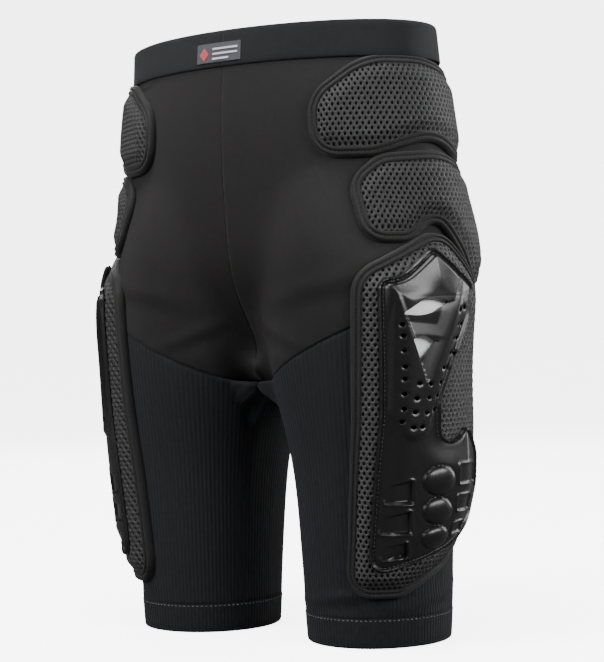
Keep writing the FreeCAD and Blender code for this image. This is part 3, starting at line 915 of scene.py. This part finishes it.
SHELL_LINE = [(-48, 61, 14), (-8, 74, 60), (25, 85, 60), (48, 103, 30), (60, 134, 22), (57, 160, 20),
              (38, 184, 8), (24, 172, 12), (4, 172, 13), (3, 203, 30), (38, 274, 30), (43, 299, 8),
              (-5, 328, 8), (-34, 305, 20), (-51, 303, 9), (-47, 190, 300)]
SHELL_CUT = 17 * MM
grounds = {}
for zone, (heading, axis, spread, (low, high), thick, corners) in PADS.items():
    ground = Ground(cloth, axis, heading, spread, low, high)
    grounds[zone] = ground
    radii = [c[2] for c in corners]
    scale = 1.2 if zone == "thigh" else 1.0
    edge_height = 5.2 * MM * scale
    corners_flat = ground.flat([c[:2] for c in corners], edge_height)
    outline = rounded(corners_flat, radii, 2 * MM)

    def crown(flat, outline=outline, thick=thick, edge_height=edge_height):
        rise = smooth((depth(flat, outline) - 4 * MM) / (15 * MM))
        return edge_height + (thick * MM - edge_height) * rise

    def under(flat, crown=crown):
        return crown(flat) - 1.6 * MM

    if zone == "thigh":
        shell_outline = rounded(ground.flat([c[:2] for c in SHELL_LINE], SHELL_CUT),
                                [c[2] for c in SHELL_LINE], 1.2 * MM)

    def keep(flat, outline=outline, zone=zone):
        shown = depth(flat, outline) > 4.6 * MM
        if zone == "thigh":
            shown &= depth(flat, shell_outline) < 4 * MM
        return shown

    body = block(zone + "_pad_left", ground, rounded(corners_flat, radii, 2.2 * MM),
                 2.6 * MM, under, -0.8 * MM)
    cover = spacer_mesh(zone + "_mesh_left", ground, outline, crown, keep)
    edge, groove = tape(zone + "_tape_left", ground, outline, scale)
    flat_places, flat_along = spaced(groove, 3.4 * MM)
    groove_height = np.full(len(flat_places), 4.75 * MM * scale)
    places, out = ground.lift(flat_places, groove_height)
    ahead = ground.lift(flat_places + 0.5 * flat_along, groove_height)[0]
    thread = stitches(zone + "_stitching_left", places, ahead - places, out, 2.4 * MM, 0.6 * MM, 0.6 * MM)
    for side in [""] if zone == "tailbone" else ["_left", "_right"]:
        made = (body, cover, edge, thread)
        if side == "_right":
            made = [other_side(p, p.name.replace("_left", "_right")) for p in made]
        elif not side:
            for piece in made:
                piece.name = piece.name.replace("_left", "")
        dress(made[0], foam, "pad_foam", zone + "_foam" + side)
        dress(made[1], mesh_cloth, "spacer_mesh", zone + "_cover" + side)
        dress(made[2], tape_cloth, "binding_tape", zone + "_binding" + side)
        dress(made[3], dark_thread, "stitch_thread")

# ---------------------------------------------------------------- hard shells and window textile
# A moulded black shell is stitched through its rim to each thigh pad.  It has a tongue with vent
# holes, a V-shaped valley with two windows over pale textile, louvres, bead frames and three domes.
SHELL_WALL = 1.8 * MM
SHELL_RIM = 3.5
TONGUE = [(-44, 196, 12), (-28, 170, 14), (-9, 177, 12), (6, 222, 20), (30, 292, 3), (-45, 292, 3)]
UPPER_WINDOW = [(-35.5, 275, 1), (-14, 273, 30), (6.5, 283, 1), (-13, 289.5, 22)]
LOWER_WINDOW = [(-27, 255, 1), (-18, 259, 10), (-7, 253, 1), (-20, 236, 2)]
VALLEY_LEFT = ((-40, 297), (-16, 221))
VALLEY_RIGHT = ((22, 297), (-10, 221))
VALLEY_SLOPE = 0.4
RIDGE_LINE = ((-6, 326), (-13, 288))
LOUVRES = [[(-40, 123), (-21, 123), (-23, 142), (-38, 138)], [(-42, 98), (-21, 98), (-23, 117), (-41, 112)],
           [(-40, 76), (-22, 78), (-24, 91), (-41, 87)]]
BEAD_FRAMES = [[(21, 136), (48, 136), (48, 153), (21, 153)], [(20, 114), (42, 114), (43, 128), (20, 128)],
               [(18, 94), (33, 96), (35, 106), (18, 105)]]
VENT_HOLES = [(-35, 267), (-34, 258), (-33, 246), (-32, 233), (-32, 223), (-32, 211), (-32, 199), (-33, 189),
              (-21, 219), (-23, 207), (-24, 196), (-25, 184), (-11, 218), (-12, 207), (-14, 195), (-18, 184),
              (1, 219), (-2, 208), (-5, 197), (26, 280), (19, 278), (26, 267), (19, 267), (21, 255),
              (14, 255), (18, 243), (12, 243), (10, 231), (3, 231)]
HOLE = 1.8 * MM
DOMES = [(0.5, 140.5, 14, 11.8), (0.5, 116, 13.3, 11), (0.5, 93.5, 12.9, 10)]
thigh = grounds["thigh"]


def shell_points(corners):
    """Flat places of points on the shell's face."""
    return thigh.flat([c[:2] for c in corners], SHELL_CUT)


def shell_loop(corners, step, radius=None):
    """A rounded flat outline on the shell's face."""
    return rounded(shell_points(corners), [c[2] if radius is None else radius for c in corners], step)


def beside(flat, line):
    """Signed distance from the straight line between two points, positive to its right going down."""
    a, b = shell_points(line)
    along = (b - a) / np.linalg.norm(b - a)
    return (flat[:, 1] - a[1]) * along[0] - (flat[:, 0] - a[0]) * along[1]


def above_line(flat, window):
    """Height in millimetres above the line through a window's two side corners."""
    ends = shell_points([window[0], window[2]])
    rise = (ends[1, 1] - ends[0, 1]) / (ends[1, 0] - ends[0, 0])
    return (flat[:, 1] - ends[0, 1] - rise * (flat[:, 0] - ends[0, 0])) / MM


tongue_loop = shell_loop(TONGUE, 2 * MM)
upper_loop = shell_loop(UPPER_WINDOW, 0.9 * MM)
lower_loop = shell_loop(LOWER_WINDOW, 0.9 * MM)
hole_centres = shell_points(VENT_HOLES)
HOLE_TURNS = np.radians(np.arange(0, 360, 30))
hole_loops = [c + HOLE * np.stack([np.cos(HOLE_TURNS), np.sin(HOLE_TURNS)], 1) for c in hole_centres]


def shell_height(flat):
    """The shell's face above the cloth."""
    d = depth(flat, shell_outline) / MM
    up = flat[:, 1] / MM
    h = 15.6 + 4.9 * smooth(d / 24) - 1.4 * (1 - smooth(d / 1.3))
    h += 1.9 * np.exp(-((d - 1.5) / 1.2) ** 2) - 0.7 * np.exp(-((d - SHELL_RIM) / 0.9) ** 2)
    on_tongue = smooth(depth(flat, tongue_loop) / MM / 6 + 0.15)
    on_tongue = np.maximum(on_tongue, smooth((up - 258) / 34))
    h += 2.2 * on_tongue * smooth((d - 4) / 3)
    left = beside(flat, VALLEY_LEFT) / MM
    right = -beside(flat, VALLEY_RIGHT) / MM
    over_upper = above_line(flat, UPPER_WINDOW)
    over_lower = above_line(flat, LOWER_WINDOW)
    low_part = 4.4 * (1 - smooth((over_lower + 0.8) / 1.6))
    middle_part = (4.4 - 0.17 * np.clip(14 - over_lower, 0, 14)) * smooth((over_lower + 0.8) / 1.6)
    middle_part *= 1 - smooth((over_upper + 0.8) / 1.6)
    high_part = 1.5 * smooth((over_upper + 0.8) / 1.6) * smooth((322 - up) / 30)
    floor = low_part + middle_part + high_part
    h -= np.minimum(floor * smooth(left / 2.2), VALLEY_SLOPE * np.maximum(right, 0)) * smooth((up - 219) / 3)
    centre = np.interp(flat[:, 1], *(shell_points(RIDGE_LINE[::-1])[:, k] for k in (1, 0)))
    aside = (flat[:, 0] - centre) / MM
    above = smooth((up - 286) / 14) * smooth((326 - up) / 12)
    h += above * (0.15 * np.exp(-(aside / 5) ** 2) - 0.4 * np.exp(-(aside / 14) ** 2))
    between = smooth((over_lower - 1) / 4) * smooth(-(over_upper + 1) / 4)
    between *= smooth(left / 2) * smooth(right / 4)
    h += between * 0.7 * np.exp(-((aside - 1) / 10) ** 2)
    for centre_of_hole in hole_centres:
        r = np.linalg.norm(flat - centre_of_hole, axis=1)
        h -= 0.55 * np.exp(-((np.maximum(r, HOLE) - HOLE) / (0.7 * MM)) ** 2)
    for corners in LOUVRES:
        loop = shell_loop(corners, 1 * MM, 1)
        inwards = depth(flat, loop) / MM
        low, high = loop[:, 0].min(), loop[:, 0].max()
        ramp = np.clip((flat[:, 0] - low) / (high - low), 0, 1)
        h -= 3.6 * smooth(1.1 * ramp) * smooth(inwards / 1.7)
        foot = smooth((loop[:, 1].min() / MM + 4 - up) / 3)
        h += 0.9 * np.maximum(smooth(3 * ramp - 2), foot) * np.exp(-((inwards + 1.0) / 0.8) ** 2)
    for corners in BEAD_FRAMES:
        inwards = depth(flat, shell_loop(corners, 1 * MM, 2)) / MM
        h += 1.1 * np.exp(-(inwards / 1.0) ** 2) - 0.5 * smooth((inwards - 0.8) / 1.5)
    for across, height, half_width, half_height in DOMES:
        middle = shell_points([(across, height)])[0]
        r = np.hypot((flat[:, 0] - middle[0]) / (half_width * MM),
                     (flat[:, 1] - middle[1]) / (half_height * MM))
        h += 4.4 * np.maximum(1 - r * r, 0) ** 0.6 - 0.4 * np.exp(-((r - 1.05) / 0.06) ** 2)
    return h * MM


shell_finish = Finish("hard_shell", (0.003, 0.003, 0.0033), 0.26, Specular_IOR_Level=0.3)
shell_finish.roughen(shell_finish.pattern("Noise", "Object", 70, Detail=6.0), 0.26, 0.37)
shell_finish.bump(shell_finish.pattern("Noise", "Object", 1500), 0.03 * MM, 0.35)
shell_finish.bump(shell_finish.pattern("Noise", "Object", 45), 0.1 * MM, 0.4)
shell_finish.tint(shell_finish.pattern("Noise", "Object", 35), (0.0022, 0.0022, 0.0025),
                  (0.0042, 0.0042, 0.0046))

shell = cut_flat("thigh_hard_shell_left", shell_outline, 0.8 * MM, [upper_loop, lower_loop] + hole_loops)
flat = flat_of(shell)
flat_map(shell, flat)
shape(shell, thigh.lift(flat, shell_height(flat))[0])
bpy.context.view_layer.objects.active = shell
wall = shell.modifiers.new("wall", "SOLIDIFY")
wall.thickness = SHELL_WALL
wall.offset = -1
bpy.ops.object.modifier_apply(modifier="wall")
bpy.ops.object.shade_smooth_by_angle(angle=math.radians(38))

row, row_along = spaced(shell_outline + inward_of(shell_outline) * SHELL_RIM * MM, 3.4 * MM)
row_height = shell_height(row)
places, out = thigh.lift(row, row_height)
ahead = thigh.lift(row + 0.5 * row_along, row_height)[0]
shell_thread = stitches("thigh_shell_stitching_left", places, ahead - places, out, 1.3 * MM, 0.5 * MM,
                        0.5 * MM)

rim_thread = thread_finish("stitch_thread_rim", (0.16, 0.16, 0.16))
window_finish = Finish("window_fabric", (0.50, 0.50, 0.51), 0.75, Sheen_Weight=0.2, Specular_IOR_Level=0.3)
window_finish.bump(window_finish.pattern("Voronoi", "UV", (800, 800, 1)), 0.25 * MM, 0.9)
window_finish.tint(window_finish.pattern("Voronoi", "UV", (800, 800, 1)),
                   (0.95, 0.95, 0.96), (0.5, 0.5, 0.51), 0.1, 0.8)
WINDOW_CLOTH = [(-39, 277, 1), (-38, 273, 1), (-31, 270, 2), (-28.5, 254, 2), (-21, 230, 3), (-3, 250, 3),
                (10, 285, 3), (-13, 294, 6)]
insert = block("thigh_window_cloth_left", thigh, shell_loop(WINDOW_CLOTH, 1.2 * MM), 1.5 * MM,
               14.6 * MM, 13.9 * MM)
for side in ("left", "right"):
    pieces = (shell, shell_thread, insert)
    if side == "right":
        pieces = [other_side(p, p.name.replace("_left", "_right")) for p in pieces]
    dress(pieces[0], shell_finish.material, "hard_shell", "thigh_shell_" + side)
    dress(pieces[1], rim_thread, "stitch_thread")
    dress(pieces[2], window_finish.material, "window_fabric", "thigh_window_insert_" + side)

# ---------------------------------------------------------------- woven label
# A small dark damask label is sewn flat on the band beside the centre seam.  Its own device is a
# plain red lozenge and three pale bars, raised a little as satin stitch.
label_ground = Ground(band_surface, trunk_axis, 0, 26, WAIST_LINE + 1 * MM, WAIST_TOP - 2 * MM, 2)


def label_block(name, corners, top, bottom, step):
    """A flat woven shape on the band."""
    places = label_ground.flat([c[:2] for c in corners], top)
    return block(name, label_ground, rounded(places, [c[2] for c in corners], 0.6 * MM), step, top, bottom)


def bar(left, low, width, height):
    """Corners of a narrow bar with rounded ends."""
    return [(left, low, 0.5), (left + width, low, 0.5), (left + width, low + height, 0.5),
            (left, low + height, 0.5)]


label_finish = Finish("label_woven", (0.010, 0.011, 0.02), 0.5, Sheen_Weight=0.15, Specular_IOR_Level=0.35)
label_finish.bump(label_finish.pattern("Wave", "UV", (2200, 2200, 0), bands_direction="DIAGONAL", Scale=1.0),
                  0.1 * MM, 0.8)
label_finish.tint(label_finish.pattern("Noise", "UV", (900, 2500, 1)),
                  (0.007, 0.008, 0.015), (0.016, 0.017, 0.03))
label = label_block("woven_label", bar(-26, 489, 46, 19), 1.75 * MM, 0.7 * MM, 0.9 * MM)
dress(label, label_finish.material, "label_woven", "waist_label")


def satin_finish(name, colour):
    finish = Finish(name, colour, 0.45, Sheen_Weight=0.2)
    finish.bump(finish.pattern("Wave", "UV", (2600, 0, 0), Scale=1.0), 0.12 * MM, 0.9)
    finish.tint(finish.pattern("Noise", "UV", (1800, 600, 1)), tuple(0.75 * c for c in colour), colour)
    return finish.material


LOZENGE = [(-18, 492.5, 0.6), (-13, 498.5, 0.6), (-18, 504.5, 0.6), (-23, 498.5, 0.6)]
lozenge = label_block("label_lozenge", LOZENGE, 2.15 * MM, 1.6 * MM, 0.6 * MM)
dress(lozenge, satin_finish("label_red_satin", (0.45, 0.012, 0.015)), "label_woven")
pale_satin = satin_finish("label_pale_satin", (0.62, 0.62, 0.62))
for number, (low, width) in enumerate(((502, 26), (497.6, 26), (493.2, 17))):
    dress(label_block("label_bar_%d" % number, bar(-9, low, width, 1.6), 2.1 * MM, 1.6 * MM, 0.5 * MM),
          pale_satin, "label_woven")

# ---------------------------------------------------------------- stage, camera and lights
# The shorts stand on a plain pale floor that glows like the background.  Only the camera sees it
# bright: to the object it is dim, so that it puts no false light into the glossy shells.
FLOOR_SIZE = 30
FLOOR_GLOW = 5.0
bpy.ops.mesh.primitive_plane_add(size=FLOOR_SIZE, location=(0, 0, 0))
floor = bpy.context.object
floor.name = "floor"
floor_finish = Finish("pale_floor", (0.9, 0.9, 0.9), 0.9)
floor_nodes = floor_finish.material.node_tree.nodes
floor_links = floor_finish.material.node_tree.links
dim = floor_nodes.new("ShaderNodeBsdfDiffuse")
dim.inputs["Color"].default_value = (0.12, 0.12, 0.12, 1)
glow = floor_nodes.new("ShaderNodeEmission")
glow.inputs["Strength"].default_value = FLOOR_GLOW
lit = floor_nodes.new("ShaderNodeAddShader")
looked_at = floor_nodes.new("ShaderNodeLightPath")
pick = floor_nodes.new("ShaderNodeMixShader")
floor_links.new(floor_finish.shader.outputs["BSDF"], lit.inputs[0])
floor_links.new(glow.outputs["Emission"], lit.inputs[1])
floor_links.new(looked_at.outputs["Is Camera Ray"], pick.inputs["Fac"])
floor_links.new(dim.outputs["BSDF"], pick.inputs[1])
floor_links.new(lit.outputs["Shader"], pick.inputs[2])
floor_links.new(pick.outputs["Shader"], floor_nodes["Material Output"].inputs["Surface"])
floor.data.materials.append(floor_finish.material)

CAMERA_TURN = math.radians(35)
CAMERA_AWAY = 1.55
bpy.ops.object.camera_add(location=(math.sin(CAMERA_TURN) * CAMERA_AWAY,
                                    -math.cos(CAMERA_TURN) * CAMERA_AWAY + MIDDLE.y, 0.256))
camera = bpy.context.object
camera.data.lens = 95.5
camera.data.sensor_width = 36
camera.data.clip_end = 50
camera.rotation_mode = "XYZ"
view = Vector((0, MIDDLE.y, 0.256)) - camera.location
heading = math.atan2(view.y, view.x) - math.pi / 2 - math.radians(0.55)
camera.rotation_euler = (math.radians(90.25), math.radians(1.2), heading)
bpy.context.scene.camera = camera

# A white studio seen by the camera, but dim in reflections, with large soft lamps.
world = bpy.data.worlds.new("studio")
bpy.context.scene.world = world
world.use_nodes = True
world_nodes = world.node_tree.nodes
world_links = world.node_tree.links
room = world_nodes["Background"]
room.inputs["Color"].default_value = (1, 1, 1, 1)
room.inputs["Strength"].default_value = 0.1
seen = world_nodes.new("ShaderNodeBackground")
seen.inputs["Color"].default_value = (1, 1, 1, 1)
seen.inputs["Strength"].default_value = FLOOR_GLOW
ray = world_nodes.new("ShaderNodeLightPath")
choose = world_nodes.new("ShaderNodeMixShader")
world_links.new(ray.outputs["Is Camera Ray"], choose.inputs["Fac"])
world_links.new(room.outputs["Background"], choose.inputs[1])
world_links.new(seen.outputs["Background"], choose.inputs[2])
world_links.new(choose.outputs["Shader"], world_nodes["World Output"].inputs["Surface"])


def lamp(name, location, size, power, aim=(0, 0, 0.25)):
    """A soft rectangular studio light aimed at the shorts."""
    bpy.ops.object.light_add(type="AREA", location=location)
    light = bpy.context.object
    light.name = name
    light.data.shape = "RECTANGLE"
    light.data.size, light.data.size_y = size
    light.data.energy = power
    light.rotation_euler = (Vector(aim) - Vector(location)).to_track_quat("-Z", "Y").to_euler()


lamp("key", (-1.1, -1.9, 1.3), (1.0, 1.4), 80)
lamp("front", (0.55, -2.3, 1.0), (0.9, 0.8), 17)
lamp("side", (2.1, -0.5, 1.02), (1.1, 0.45), 44)
lamp("edge", (2.0, 0.55, 1.02), (0.9, 0.45), 34)
lamp("rim", (1.1, 2.1, 0.9), (0.5, 1.6), 30)
lamp("top", (0.0, -0.6, 2.2), (1.2, 0.8), 56)
lamp("back", (-1.6, 1.9, 1.5), (1.4, 1.0), 60)
